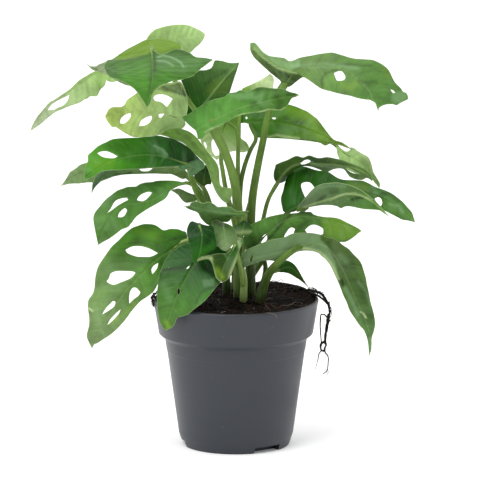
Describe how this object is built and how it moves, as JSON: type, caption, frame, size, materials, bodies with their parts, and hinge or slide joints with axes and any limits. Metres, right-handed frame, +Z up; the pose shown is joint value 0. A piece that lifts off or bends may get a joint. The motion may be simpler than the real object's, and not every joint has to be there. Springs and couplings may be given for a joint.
{
  "type": "potted monstera",
  "caption": "Young Swiss-cheese plant (Monstera adansonii) with holed leaves on arching petioles, rooted in soil in a plain tapered round nursery pot with a wide rim band",
  "frame": {"origin": "middle of the pot's flat base, on the surface it stands on", "axes": "+Z up along the pot's axis, which is the longest extent; +X to the right and -Y to the front, from where the plant is usually seen"},
  "size_m": [0.2773, 0.1826, 0.3003],
  "materials": {
    "pot_plastic": "satin",
    "potting_soil": "matte",
    "leaf_green": "satin",
    "leaf_pale": "satin",
    "leaf_dark": "satin",
    "petiole_green": "satin",
    "root_brown": "matte"
  },
  "bodies": {
    "root": {"leaf_arching_right": "leaf_green", "leaf_back_centre": "leaf_green", "leaf_back_high": "leaf_green", "leaf_back_left": "leaf_green", "leaf_back_low_left": "leaf_green", "leaf_back_low_right": "leaf_green", "leaf_behind_right": "leaf_dark", "leaf_behind_stems": "leaf_pale", "leaf_big_left": "leaf_green", "leaf_big_right": "leaf_green", "leaf_centre_front": "leaf_green", "leaf_curled_centre": "leaf_green", "leaf_drip_left": "leaf_green", "leaf_edge_centre": "leaf_green", "leaf_edge_on_right": "leaf_dark", "leaf_far_left": "leaf_pale", "leaf_far_right": "leaf_pale", "leaf_fold_left": "leaf_dark", "leaf_left_strip": "leaf_dark", "leaf_left_tip": "leaf_green", "leaf_lower_right": "leaf_green", "leaf_mid_right": "leaf_green", "leaf_over_rim": "leaf_green", "leaf_pale_small": "leaf_pale", "leaf_shaded_left": "leaf_dark", "leaf_six_holes": "leaf_green", "leaf_sliver_centre": "leaf_pale", "leaf_small_dark": "leaf_dark", "leaf_small_dome": "leaf_dark", "leaf_small_right": "leaf_dark", "leaf_three_holes": "leaf_green", "leaf_top_back": "leaf_pale", "leaf_top_front": "leaf_green", "leaf_top_right": "leaf_green", "leaf_under_top": "leaf_pale", "leaf_underside_right": "leaf_green", "leaf_young_arching": "leaf_green", "pot": "pot_plastic", "root_left": "root_brown", "root_right": "root_brown", "shoot_back": "petiole_green", "shoot_centre": "petiole_green", "shoot_front": "petiole_green", "shoot_front_right": "petiole_green", "shoot_left": "petiole_green", "shoot_right": "petiole_green", "soil": "potting_soil"}
  },
  "joints": []
}
